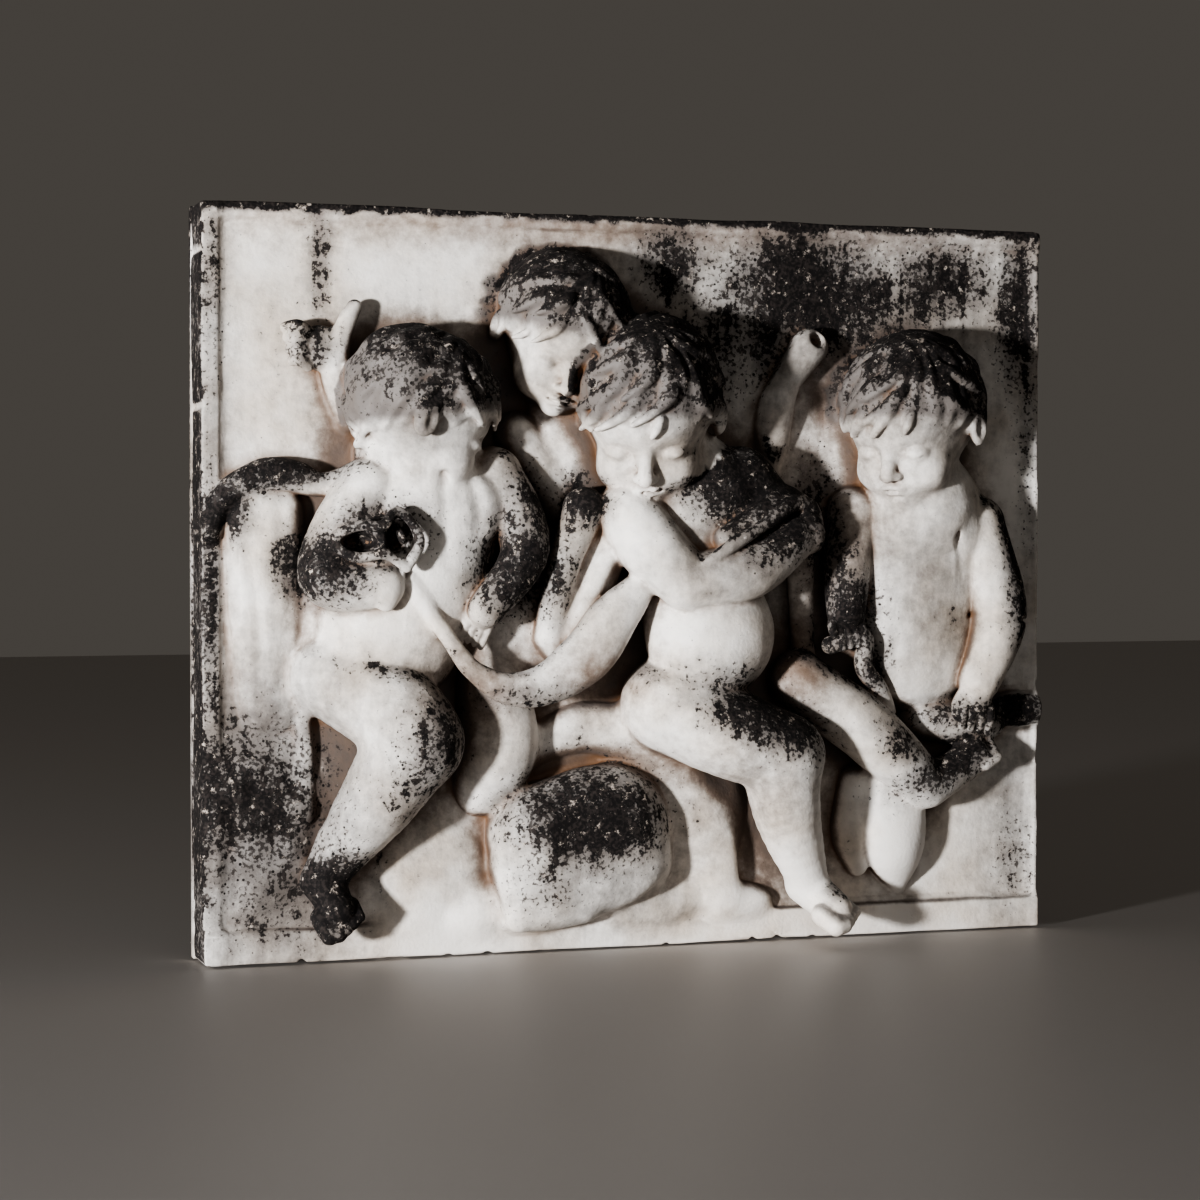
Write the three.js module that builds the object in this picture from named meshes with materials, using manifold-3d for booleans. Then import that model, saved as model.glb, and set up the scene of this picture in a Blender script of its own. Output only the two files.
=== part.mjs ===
// A weathered wall relief in biscuit porcelain: four infants with a swag of cloth, moulded in one piece with its slab.
// Millimetres, +Z up. The flat back lies on the plane y = 0, centred on the origin, and the relief faces -Y.

import * as THREE from "three";
import { RoundedBoxGeometry } from "three/addons/geometries/RoundedBoxGeometry.js";
import { mergeVertices } from "three/addons/utils/BufferGeometryUtils.js";
import Module from "manifold-3d";

const wasm = await Module();
wasm.setup();

// Driving dimensions of the slab. A depth, here and below, is measured forward from the flat back.
const WIDTH = 800;
const HEIGHT = 660;
const EDGE_DEPTH = 58;
const FIELD_DEPTH = 53;
const TOP_RIM = 15;
const LEFT_RIM = 18;
const LEDGE_HEIGHT = 30;
const LEDGE_DEPTH = 62;
const RIM_ROOT = 40;
const LIP_DEPTH = 12;
const GROOVE_WIDTH = 4;
const GROOVE_CUT = 3;

// How finely round forms are cut into facets.
const LIMB_SIDES = 8;
const LIMB_STEP = 26;
const FINGER_SIDES = 5;
const HEAD_SIDES = 24;
const HEAD_RINGS = 18;
const EGG_SIDES = 12;

// Edges shorter than this are thinned out while no facet shifts by more than the slack.
const SHORT_EDGE = 14;
const SLACK = 1;
const TINY_FACE = 0.2;
const LEAST_TURN = 0.6;
const THINNING_PASSES = 4;

// A place on the relief: across to the right, up, and forward from the back.
const at = (across, up, depth) => new THREE.Vector3(across, -depth, up);

const FORWARD = at(0, 0, 1);

// Joining and cutting

// The triangles of a merged geometry, each as its three corners, without those that have closed up.
function facesOf(merged) {
  const corners = merged.index.array;
  const faces = [];
  for (let i = 0; i < corners.length; i += 3) {
    const [a, b, c] = [corners[i], corners[i + 1], corners[i + 2]];
    if (a !== b && b !== c && c !== a) faces.push([a, b, c]);
  }
  return faces;
}

// A closed geometry as a solid that can be joined and cut.
function solid(geometry) {
  const bare = new THREE.BufferGeometry();
  bare.setAttribute("position", geometry.getAttribute("position"));
  bare.setIndex(geometry.index);
  const merged = mergeVertices(bare, 1e-3);
  return new wasm.Manifold(
    new wasm.Mesh({
      numProp: 3,
      vertProperties: merged.getAttribute("position").array,
      triVerts: new Uint32Array(facesOf(merged).flat()),
    }),
  );
}

const join = (pieces) => pieces.reduce((whole, piece) => whole.add(piece));

// The outer skin of a solid as a geometry: the shell that holds the most, without closed pockets and stray slivers.
function skinOf(whole) {
  const mesh = whole.getMesh();
  const raw = new THREE.BufferGeometry();
  raw.setAttribute("position", new THREE.BufferAttribute(mesh.vertProperties, 3));
  raw.setIndex(new THREE.BufferAttribute(mesh.triVerts, 1));
  const merged = mergeVertices(raw, 1e-3);
  const place = merged.getAttribute("position");
  const faces = facesOf(merged);
  const shell = faces.map((_, i) => i);
  const rootOf = (i) => {
    while (shell[i] !== i) i = shell[i] = shell[shell[i]];
    return i;
  };
  const edges = new Map();
  faces.forEach((face, i) => {
    face.forEach((from, k) => edges.set(`${from} ${face[(k + 1) % 3]}`, i));
  });
  faces.forEach((face, i) => {
    face.forEach((from, k) => (shell[rootOf(i)] = rootOf(edges.get(`${face[(k + 1) % 3]} ${from}`) ?? i)));
  });
  const held = new Map();
  faces.forEach((face, i) => {
    const [a, b, c] = face.map((corner) => new THREE.Vector3().fromBufferAttribute(place, corner));
    held.set(rootOf(i), (held.get(rootOf(i)) ?? 0) + a.dot(b.cross(c)) / 6);
  });
  const outer = [...held].reduce((most, entry) => (entry[1] > most[1] ? entry : most))[0];
  merged.setIndex(thinned(faces.filter((_, i) => rootOf(i) === outer), place).flat());
  merged.computeVertexNormals();
  return merged;
}

// Forms that cross leave many short edges. Each is drawn together into one of its two corners where the surface stays
// closed, no facet turns over and none moves by more than the slack. The slab's own corners stay where they are.
function thinned(faces, place) {
  const corners = Array.from({ length: place.count }, (_, i) => new THREE.Vector3().fromBufferAttribute(place, i));
  const around = corners.map(() => new Set());
  faces.forEach((face, i) => face.forEach((corner) => around[corner].add(i)));
  const beside = (corner) => {
    const near = new Set([...around[corner]].flatMap((i) => faces[i]));
    near.delete(corner);
    return near;
  };
  const triangle = (face) => new THREE.Triangle(...face.map((corner) => corners[corner]));
  const moved = (face, from, to) => face.map((corner) => (corner === from ? to : corner));
  const staysTrue = (face, from, to) => {
    const before = triangle(face);
    const after = triangle(moved(face, from, to));
    const facing = after.getNormal(new THREE.Vector3());
    const shift = Math.abs(facing.dot(corners[from].clone().sub(corners[to])));
    const turned = before.getArea() > TINY_FACE && facing.dot(before.getNormal(new THREE.Vector3())) < LEAST_TURN;
    return after.getArea() > TINY_FACE && shift < SLACK && !turned;
  };
  const drawTogether = (from, to) => {
    if (-corners[from].y < RIM_ROOT + SLACK) return false;
    const near = beside(from);
    const shared = [...beside(to)].filter((corner) => near.has(corner));
    const staying = [...around[from]].filter((i) => !faces[i].includes(to));
    if (shared.length !== 2 || !staying.every((i) => staysTrue(faces[i], from, to))) return false;
    around[from].forEach((i) => {
      if (staying.includes(i)) {
        faces[i] = moved(faces[i], from, to);
        around[to].add(i);
      } else {
        faces[i].forEach((corner) => corner !== from && around[corner].delete(i));
        faces[i] = [];
      }
    });
    around[from].clear();
    return true;
  };
  for (let pass = 0; pass < THINNING_PASSES; pass++) {
    const edges = faces.flatMap((face) => face.map((from, k) => [from, face[(k + 1) % 3]]));
    const lengthOf = ([from, to]) => corners[from].distanceTo(corners[to]);
    const short = edges.filter((edge) => edge[0] < edge[1] && lengthOf(edge) < SHORT_EDGE);
    short.sort((one, other) => lengthOf(one) - lengthOf(other));
    for (const [from, to] of short) {
      if (beside(from).has(to)) drawTogether(from, to) || drawTogether(to, from);
    }
  }
  return faces.filter((face) => face.length);
}

// Basic forms

// A box between two corners.
function block(low, high) {
  const size = high.clone().sub(low);
  const [wide, deep, tall] = [Math.abs(size.x), Math.abs(size.y), Math.abs(size.z)];
  const geometry = new THREE.BoxGeometry(wide, deep, tall);
  const middle = low.clone().add(high).multiplyScalar(0.5);
  return solid(geometry.translate(middle.x, middle.y, middle.z));
}

// An egg with its three half-sizes across, up and forward, turned in the plane of the relief.
function egg(centre, across, up, forward, turn = 0, sides = EGG_SIDES) {
  const geometry = new THREE.SphereGeometry(1, sides, Math.round(sides * 0.7));
  geometry.scale(across, forward, up);
  geometry.rotateY(-THREE.MathUtils.degToRad(turn));
  return solid(geometry.translate(centre.x, centre.y, centre.z));
}

// A block with rounded edges, turned in the plane of the relief.
function boulder(centre, across, up, forward, rounding, turn) {
  const geometry = new RoundedBoxGeometry(2 * across, 2 * forward, 2 * up, 2, rounding);
  geometry.rotateY(-THREE.MathUtils.degToRad(turn));
  return solid(geometry.translate(centre.x, centre.y, centre.z));
}

// A round form along a smooth line through its joints, with its own girth at each joint and round ends.
// flat squashes its section in the depth of the relief.
function limb(joints, girths, { sides = LIMB_SIDES, step = LIMB_STEP, ends = 2, flat = 1 } = {}) {
  const line = joints.length > 2 ? new THREE.CatmullRomCurve3(joints) : new THREE.LineCurve3(...joints);
  const length = line.getLength();
  const first = girths[0];
  const last = girths[girths.length - 1];
  const girthLine = new THREE.SplineCurve(girths.map((girth, i) => new THREE.Vector2(i, girth)));
  const girthAt = (share) => girthLine.getPoint(share).y;
  const steps = Math.max(1, Math.round(length / step));
  const profile = [new THREE.Vector2(0, -first)];
  for (let i = ends - 1; i > 0; i--) {
    const angle = (i / ends) * (Math.PI / 2);
    profile.push(new THREE.Vector2(first * Math.cos(angle), -first * Math.sin(angle)));
  }
  for (let i = 0; i <= steps; i++) {
    profile.push(new THREE.Vector2(girthAt(i / steps), (i / steps) * length));
  }
  for (let i = 1; i < ends; i++) {
    const angle = (i / ends) * (Math.PI / 2);
    profile.push(new THREE.Vector2(last * Math.cos(angle), length + last * Math.sin(angle)));
  }
  profile.push(new THREE.Vector2(0, length + last));
  const geometry = new THREE.LatheGeometry(profile, sides);
  const place = geometry.getAttribute("position");
  for (let i = 0; i < place.count; i++) {
    const along = place.getY(i);
    const share = THREE.MathUtils.clamp(along / length, 0, 1);
    const tangent = line.getTangentAt(share);
    const beside = new THREE.Vector3().crossVectors(FORWARD, tangent).normalize();
    const outward = new THREE.Vector3().crossVectors(beside, tangent);
    const point = line
      .getPointAt(share)
      .addScaledVector(tangent, along - share * length)
      .addScaledVector(beside, place.getX(i))
      .addScaledVector(outward, place.getZ(i) * flat);
    place.setXYZ(i, point.x, point.y, point.z);
  }
  return solid(geometry);
}

// Parts of the body

// The turned frame of a head: yaw to the right, pitch down and roll to the right, in degrees.
function headFrame({ yaw, pitch, roll }) {
  const [a, b, c] = [yaw, pitch, roll].map(THREE.MathUtils.degToRad);
  const face = at(Math.sin(a) * Math.cos(b), -Math.sin(b), Math.cos(a) * Math.cos(b));
  const side = new THREE.Vector3().crossVectors(face, at(0, 1, 0)).normalize();
  const crown = new THREE.Vector3().crossVectors(side, face).applyAxisAngle(face, c);
  return new THREE.Matrix4().makeBasis(new THREE.Vector3().crossVectors(face, crown), face, crown);
}

// The head of an infant, in shares of half its width: a large skull, and a small face low down with full cheeks.
// It is carved from a ball, each direction reaching out to the skull or the jaw, whichever is farther.
const SKULL = { middle: new THREE.Vector3(0, -0.06, 0.04), half: new THREE.Vector3(0.98, 1.12, 1.06) };
const JAW = { middle: new THREE.Vector3(0, 0.36, -0.66), half: new THREE.Vector3(0.66, 0.66, 0.66) };

// Each entry raises or sinks the surface round one direction: side, front, up, height, spread.
const FACE_FORMS = [
  [0, 0.74, -1.2, 0.06, 0.17],
  [0, 1.06, -0.74, 0.22, 0.1],
  [0, 1.1, -0.52, 0.1, 0.1],
  [0, 0.98, -1.0, 0.06, 0.11],
];
const PAIRED_FACE_FORMS = [
  [0.5, 0.78, -0.84, 0.06, 0.24],
  [0.4, 0.98, -0.44, -0.09, 0.13],
  [0.38, 1.02, -0.24, 0.03, 0.13],
];
const HAIR_THICK = 0.09;
const HAIR_WAVE = 0.045;
const HAIRLINE = -0.3;
const LOCKS_ROUND = 11;

// How far an egg reaches from the origin along a direction.
function eggReach(direction, { middle, half }) {
  const ray = direction.clone().divide(half);
  const offset = middle.clone().divide(half);
  const along = offset.dot(ray);
  const inside = along ** 2 - ray.lengthSq() * (offset.lengthSq() - 1);
  return inside > 0 ? (along + Math.sqrt(inside)) / ray.lengthSq() : 0;
}

function headReach(direction) {
  const { x, y, z } = direction;
  const bone = Math.hypot(eggReach(direction, SKULL) ** 4, Math.max(0, eggReach(direction, JAW)) ** 4) ** 0.25;
  const raise = (side, front, up, height, spread) => {
    const angle = direction.angleTo(new THREE.Vector3(side, front, up));
    return height * Math.exp(-((angle / spread) ** 2));
  };
  const single = FACE_FORMS.map((form) => raise(...form));
  const paired = PAIRED_FACE_FORMS.flatMap(([side, ...form]) => [raise(side, ...form), raise(-side, ...form)]);
  const face = [...single, ...paired].reduce((sum, height) => sum + height);
  const cap = THREE.MathUtils.smoothstep(z - 0.62 * y, HAIRLINE - 0.12, HAIRLINE + 0.08);
  const locks = Math.sin(LOCKS_ROUND * Math.atan2(x, y) + 5 * z) * Math.cos(9 * z);
  return bone + face + cap * (HAIR_THICK + HAIR_WAVE * locks);
}

function head({ centre, half, ...turn }) {
  const frame = headFrame(turn);
  const ball = new THREE.SphereGeometry(1, HEAD_SIDES, HEAD_RINGS);
  const place = ball.getAttribute("position");
  const direction = new THREE.Vector3();
  for (let i = 0; i < place.count; i++) {
    direction.fromBufferAttribute(place, i);
    const reach = headReach(direction);
    direction.multiplyScalar(reach * half);
    place.setXYZ(i, direction.x, direction.y, direction.z);
  }
  const ears = [-1, 1].map((side) => {
    const ear = new THREE.SphereGeometry(1, 8, 6);
    ear.scale(0.1 * half, 0.2 * half, 0.28 * half);
    ear.rotateZ(side * 0.35);
    return ear.translate(side * 1.0 * half, -0.05 * half, -0.28 * half);
  });
  return join(
    [ball, ...ears].map((form) => solid(form.applyMatrix4(frame).translate(centre.x, centre.y, centre.z))),
  );
}

// A hand: a palm from the wrist along reach, with four fingers side by side along across, and a thumb.
// curl bends the fingertips towards the given direction.
function hand({ wrist, reach, across, curl, size, spread = 0.24 }) {
  const along = reach.clone().normalize();
  const beside = across.clone().normalize();
  const from = (forward, side, bent) =>
    wrist
      .clone()
      .addScaledVector(along, forward * size)
      .addScaledVector(beside, side * size)
      .addScaledVector(curl, bent * size);
  const finger = (joints, girth) =>
    limb(joints, [girth, girth, girth * 0.85], { sides: FINGER_SIDES, step: size * 0.5, ends: 1 });
  const palm = limb([from(0, 0, 0), from(0.5, 0, 0)], [0.34 * size, 0.44 * size], { flat: 0.75 });
  const fingers = [-1.5, -0.5, 0.5, 1.5].map((step) =>
    finger(
      [from(0.6, step * spread, 0), from(1.0, step * spread * 1.1, 0.1), from(1.25, step * spread * 1.1, 0.42)],
      0.145 * size,
    ),
  );
  const thumb = finger([from(0.2, -0.4, 0.1), from(0.5, -0.62, 0.25), from(0.8, -0.62, 0.35)], 0.16 * size);
  return join([palm, ...fingers, thumb]);
}

// A foot from heel to toes, with five round toes side by side along across.
function foot({ heel, toes, across, size }) {
  const beside = across.clone().normalize();
  const along = toes.clone().sub(heel).normalize();
  const sole = limb([heel, heel.clone().lerp(toes, 0.5), toes], [0.5 * size, 0.46 * size, 0.42 * size]);
  const pads = [-2, -1, 0, 1, 2].map((step) => {
    const girth = (0.2 - 0.03 * step) * size;
    const base = toes.clone().addScaledVector(beside, step * 0.2 * size);
    const tip = base.clone().addScaledVector(along, (0.5 - 0.05 * Math.abs(step - -1)) * size);
    return limb([base, tip], [girth, girth * 0.9], { sides: FINGER_SIDES, step: size, ends: 1 });
  });
  return join([sole, ...pads]);
}

// The slab

// A flat-backed slab with a recessed field, rims along the top and left, and a ledge along the foot.
// A narrow groove round its edges sets off the lip at the back.
function slab() {
  const right = WIDTH / 2;
  const top = HEIGHT / 2;
  const body = block(at(-right, -top, 0), at(right, top, FIELD_DEPTH));
  const topRim = block(at(-right, top - TOP_RIM, RIM_ROOT), at(right, top, EDGE_DEPTH));
  const leftRim = block(at(-right, -top, RIM_ROOT), at(-right + LEFT_RIM, top, EDGE_DEPTH));
  const ledge = block(at(-right, -top, RIM_ROOT), at(right, -top + LEDGE_HEIGHT, LEDGE_DEPTH));
  const groove = block(
    at(-right - 1, -top - 1, LIP_DEPTH),
    at(right + 1, top + 1, LIP_DEPTH + GROOVE_WIDTH),
  ).subtract(
    block(
      at(-right + GROOVE_CUT, -top + GROOVE_CUT, LIP_DEPTH - 1),
      at(right - GROOVE_CUT, top - GROOVE_CUT, LIP_DEPTH + GROOVE_WIDTH + 1),
    ),
  );
  return join([body, topRim, leftRim, ledge]).subtract(groove);
}

// The infant on the left: seen from the front, the head turned away to the right in lost profile,
// one hand holding up the bunched cloth and the other reaching into it.
function leftInfant() {
  const leftHand = { reach: at(0.15, 1, 0.1), across: at(1, 0, 0), curl: at(0, 0.1, -0.7), size: 25 };
  const rightHand = { reach: at(-0.5, -1, -0.1), across: at(1, -0.5, 0), curl: at(0, -0.5, -0.6), size: 25 };
  return [
    head({ centre: at(-217, 166, 90), half: 59, yaw: 88, pitch: 18, roll: 0 }),
    limb([at(-232, 112, 74), at(-206, 92, 80)], [36, 42]),
    limb([at(-203, 68, 80), at(-205, 20, 84), at(-232, -46, 72)], [60, 58, 58], { flat: 0.64 }),
    egg(at(-224, 66, 104), 32, 28, 16),
    egg(at(-168, 66, 104), 28, 28, 16),
    limb([at(-258, 82, 84), at(-296, 10, 94), at(-252, 0, 112)], [29, 27, 20]),
    hand({ wrist: at(-250, -14, 118), ...leftHand }),
    limb([at(-148, 92, 84), at(-122, 32, 104), at(-160, -22, 106)], [28, 23, 16]),
    hand({ wrist: at(-156, -18, 106), ...rightHand }),
    limb([at(-292, -80, 62), at(-240, -108, 90), at(-221, -136, 102)], [34, 42, 41]),
    limb([at(-221, -136, 102), at(-256, -192, 90), at(-288, -240, 82)], [41, 32, 21]),
    foot({ heel: at(-298, -254, 80), toes: at(-288, -280, 92), across: at(1, 0.4, 0), size: 38 }),
    limb([at(-130, -96, 72), at(-124, -150, 76), at(-136, -172, 70)], [20, 23, 18], { flat: 0.9 }),
  ];
}

// The raised hand behind the left infant, in low relief.
function raisedHand() {
  const fingers = { reach: at(-1, 0.3, 0.1), across: at(0.2, -1, 0), curl: at(0, 0.2, 0.5), size: 30, spread: 0.26 };
  return [
    limb([at(-276, 140, 58), at(-282, 186, 62), at(-274, 222, 64)], [15, 14, 9]),
    hand({ wrist: at(-286, 200, 62), ...fingers }),
  ];
}

// The infant behind, in low relief, looking down, with one forearm coming forward, upright, into the cloth.
function backInfant() {
  return [
    head({ centre: at(-78, 230, 72), half: 54, yaw: 0, pitch: 26, roll: 14 }),
    limb([at(-72, 165, 58), at(-58, 110, 56)], [34, 52], { flat: 0.5 }),
    limb([at(-118, 132, 60), at(-74, 64, 64)], [20, 18]),
    limb([at(-66, 66, 92), at(-86, 16, 94), at(-98, -46, 88)], [19, 15, 12]),
  ];
}

// The infant in the middle: bowed head, arms crossed over the chest under the hem of a cloth, seated on the rock,
// one leg hanging to the ledge and the other stretched out to the right.
function middleInfant() {
  const hem = limb(
    [at(24, -14, 128), at(50, 24, 134), at(92, 52, 126), at(118, 70, 114), at(142, 64, 108), at(148, 42, 108)],
    [4, 6, 6, 7, 7, 6],
    { sides: FINGER_SIDES, step: 20, ends: 1 },
  );
  return [
    head({ centre: at(-8, 164, 100), half: 61, yaw: -22, pitch: 30, roll: 0 }),
    limb([at(32, 108, 84), at(46, 70, 90)], [38, 50]),
    limb([at(34, 60, 86), at(44, 0, 92), at(52, -46, 96)], [58, 57, 61], { flat: 0.78 }),
    egg(at(-16, 44, 104), 28, 28, 20),
    limb([at(84, 78, 88), at(112, 56, 92)], [34, 32]),
    limb([at(124, 44, 102), at(84, 22, 114), at(44, 2, 118)], [27, 26, 23]),
    limb([at(30, 34, 112), at(14, 4, 120), at(-4, -18, 116)], [28, 22, 10]),
    hem,
    limb([at(18, -108, 86), at(66, -134, 104), at(118, -154, 110)], [45, 41, 35]),
    limb([at(118, -154, 110), at(121, -200, 108), at(147, -268, 94)], [35, 31, 19]),
    foot({ heel: at(146, -282, 86), toes: at(174, -302, 106), across: at(1, 0.1, 0.3), size: 36 }),
    limb([at(146, -90, 74), at(206, -134, 84), at(264, -184, 82)], [27, 29, 24]),
    foot({ heel: at(272, -190, 82), toes: at(322, -164, 78), across: at(0.4, -0.5, 1), size: 40 }),
  ];
}

// The infant on the right: head turned to the left and bowed, one arm propped on a stone, the other holding the cloth.
function rightInfant() {
  const leftHand = { reach: at(0.1, -1, 0.2), across: at(1, 0.2, 0), curl: at(0, -0.5, 0.3), size: 28 };
  const rightHand = { reach: at(-0.1, -1, 0.3), across: at(1, -0.2, 0), curl: at(0, -0.8, -0.3), size: 32 };
  return [
    head({ centre: at(251, 158, 94), half: 59, yaw: -50, pitch: 20, roll: 0 }),
    limb([at(262, 98, 74), at(268, 70, 72)], [40, 54]),
    limb([at(272, 46, 62), at(266, 0, 64), at(270, -64, 60)], [72, 66, 58], { flat: 0.62 }),
    egg(at(246, 46, 92), 30, 26, 16),
    egg(at(300, 46, 90), 26, 26, 16),
    limb([at(322, 50, 72), at(341, -32, 86), at(320, -92, 90)], [31, 27, 20]),
    hand({ wrist: at(318, -98, 92), ...rightHand }),
    limb([at(204, 62, 66), at(192, 10, 78), at(188, -26, 86)], [25, 22, 18]),
    hand({ wrist: at(188, -18, 88), ...leftHand }),
  ];
}

// The raised arm to the right of the middle infant, its fist hollow where it held something.
function raisedArm() {
  const socket = egg(at(164, 221, 80), 8, 8, 16);
  const arm = join([
    limb([at(128, 104, 44), at(130, 156, 56), at(140, 184, 62)], [22, 20, 14]),
    limb([at(140, 184, 62), at(160, 214, 65)], [14, 17]),
  ]);
  return [arm.subtract(socket)];
}

// The swag of cloth slung between the hands of the left and middle infants, with a curled end in the left fist.
function swag() {
  const lip = limb(
    [
      at(-228, 4, 112),
      at(-196, -44, 112),
      at(-172, -74, 112),
      at(-142, -92, 112),
      at(-106, -90, 112),
      at(-68, -68, 112),
      at(-42, -36, 112),
      at(-18, 0, 114),
      at(-8, 20, 112),
    ],
    [8, 9, 11, 14, 18, 21, 20, 13, 6],
    { flat: 0.7 },
  );
  const curledEnd = limb(
    [
      at(-236, 18, 114),
      at(-227, 38, 114),
      at(-243, 60, 112),
      at(-260, 48, 114),
      at(-276, 49, 112),
      at(-293, 38, 106),
      at(-278, 25, 112),
      at(-256, 28, 114),
    ],
    [6, 7, 7, 7, 7, 7, 7, 6],
    { sides: FINGER_SIDES, step: 12, ends: 1 },
  );
  const bunch = egg(at(-254, 36, 90), 38, 28, 24);
  const apron = egg(at(-240, -44, 66), 64, 46, 38, -20);
  const bowl = egg(at(-112, -30, 56), 72, 66, 26);
  const folds = [
    limb([at(-28, 62, 86), at(-52, 10, 88), at(-80, -52, 84)], [16, 20, 22], { flat: 0.7 }),
    limb([at(-12, 20, 110), at(-44, -20, 106), at(-76, -56, 98)], [6, 8, 8]),
    limb([at(-30, 48, 100), at(-58, -4, 100), at(-80, -44, 96)], [7, 8, 7]),
  ];
  return [lip, curledEnd, bunch, apron, bowl, ...folds];
}

// The drapery over the shoulder on the left: a rolled edge, and a sheet with upright folds hanging from it.
function leftDrapery() {
  const roll = limb(
    [
      at(-392, 46, 56),
      at(-380, 74, 60),
      at(-350, 93, 64),
      at(-322, 94, 66),
      at(-296, 86, 68),
      at(-272, 94, 74),
      at(-250, 104, 80),
    ],
    [11, 13, 15, 15, 12, 11, 10],
  );
  const sheet = limb([at(-344, 58, 52), at(-341, -30, 52), at(-339, -104, 50)], [34, 30, 22], { flat: 0.4 });
  const folds = [0, 1, 2].map((step) =>
    limb([at(-364 + 20 * step, 66, 56), at(-353 + 13 * step, -108 - 4 * step, 52)], [10, 8], { flat: 1.1 }),
  );
  const tail = limb([at(-300, -10, 56), at(-310, -110, 56), at(-308, -200, 53)], [14, 9, 7]);
  return [roll, sheet, tail, ...folds];
}

// The cloth falling from the middle infant's forearm, and its twisted end in the right infant's fist.
function rightDrapery() {
  const fall = limb([at(144, 18, 84), at(150, -30, 72), at(156, -70, 66)], [14, 13, 11], { flat: 0.8 });
  const twist = limb(
    [at(176, -58, 82), at(204, -52, 90), at(206, -78, 88), at(222, -98, 84), at(239, -121, 76)],
    [9, 9, 9, 8, 4],
  );
  const behindHead = limb([at(176, 206, 50), at(206, 168, 50), at(212, 96, 50)], [8, 22, 32], { flat: 0.4 });
  const flap = join([
    limb([at(212, -188, 60), at(202, -232, 62), at(212, -264, 58)], [19, 16, 10]),
    limb([at(240, -192, 60), at(246, -240, 62), at(256, -284, 54)], [36, 32, 8], { flat: 0.75 }),
  ]);
  return [fall, twist, behindHead, flap];
}

// The ground: the boulder in the middle with cloth laid round it, the stone at the right and the rough bank at the left.
function ground() {
  const rock = boulder(at(-58, -234, 66), 80, 64, 40, 26, 8);
  const round = limb(
    [at(-108, -140, 58), at(-50, -126, 60), at(8, -150, 62), at(56, -212, 60), at(74, -284, 62)],
    [18, 24, 26, 24, 20],
    { flat: 0.8 },
  );
  const seat = egg(at(30, -206, 48), 74, 88, 28);
  const slope = egg(at(-205, -255, 44), 72, 62, 24);
  const stone = join([egg(at(306, -132, 62), 54, 22, 28, -4), egg(at(376, -122, 52), 36, 18, 20)]);
  const bank = egg(at(-352, -215, 44), 60, 92, 20);
  return [rock, round, seat, slope, stone, bank];
}

const outline = block(
  at(-WIDTH / 2, -HEIGHT / 2, 0),
  at(WIDTH / 2, HEIGHT / 2, 4 * EDGE_DEPTH),
);

const figures = join([
  ...leftInfant(),
  ...raisedHand(),
  ...backInfant(),
  ...middleInfant(),
  ...rightInfant(),
  ...raisedArm(),
  ...swag(),
  ...leftDrapery(),
  ...rightDrapery(),
  ...ground(),
]);

const relief = slab().add(figures.intersect(outline));

const biscuit = new THREE.MeshStandardMaterial({ color: 0xd9d2c8, roughness: 0.75, metalness: 0 });
const panel = new THREE.Mesh(skinOf(relief), biscuit);
panel.name = "relief_panel";

const part = new THREE.Group();
part.add(panel);

export default part;
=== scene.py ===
import math

import bmesh
import bpy
import numpy as np
import openvdb
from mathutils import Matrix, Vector


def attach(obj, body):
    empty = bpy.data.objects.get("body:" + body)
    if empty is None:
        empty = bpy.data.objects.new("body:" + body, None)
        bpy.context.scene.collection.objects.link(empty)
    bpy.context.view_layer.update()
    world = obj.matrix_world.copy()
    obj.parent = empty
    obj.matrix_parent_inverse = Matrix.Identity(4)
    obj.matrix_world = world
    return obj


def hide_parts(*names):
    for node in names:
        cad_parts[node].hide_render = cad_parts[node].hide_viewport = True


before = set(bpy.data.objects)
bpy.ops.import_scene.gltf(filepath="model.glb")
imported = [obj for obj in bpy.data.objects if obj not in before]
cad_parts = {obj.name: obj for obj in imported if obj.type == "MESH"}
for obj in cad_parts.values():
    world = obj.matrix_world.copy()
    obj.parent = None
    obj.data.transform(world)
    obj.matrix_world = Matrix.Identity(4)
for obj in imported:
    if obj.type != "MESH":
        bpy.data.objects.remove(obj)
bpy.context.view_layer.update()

# The view of the photograph: from the left of the relief, about level with its middle.
# A long lens stands some 2.5 m away, so the panel narrows only a little towards its right side.
# Places are in millimetres: across to the right, up, and depth forward from the flat back.
MM = 0.001
IMAGE_SIDE = 1200
FOCAL_PIXELS = 2700
SENSOR = 36
STAND = (-0.7991, -2.3591, 0.0432)
TURN_RIGHT = 18.283
LOOK_DOWN = 1.396

camera = bpy.data.objects.new("camera", bpy.data.cameras.new("camera"))
bpy.context.scene.collection.objects.link(camera)
camera.data.sensor_width = SENSOR
camera.data.lens = FOCAL_PIXELS / IMAGE_SIDE * SENSOR
camera.location = STAND
camera.rotation_euler = (math.radians(90 - LOOK_DOWN), 0, math.radians(-TURN_RIGHT))
bpy.context.scene.camera = camera

# The slab: a flat-backed porcelain panel, pressed into a mould together with all that stands on it.
# A rim and a ledge frame the field, and a groove runs round the edge behind them.
# It is built up here as clay is, in a block of small cells that each hold their distance to the surface.
CELL = 1.7
WIDTH = 800
HEIGHT = 660
EDGE_DEPTH = 58
FIELD_DEPTH = 53
TOP_RIM = 15
LEFT_RIM = 18
LEDGE_HEIGHT = 30
LEDGE_DEPTH = 61
LIP_DEPTH = 12
GROOVE_WIDTH = 4
GROOVE_CUT = 3
FAR = 24


def at(across, up, depth):
    return np.array([across, depth, up], np.float32)


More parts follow.
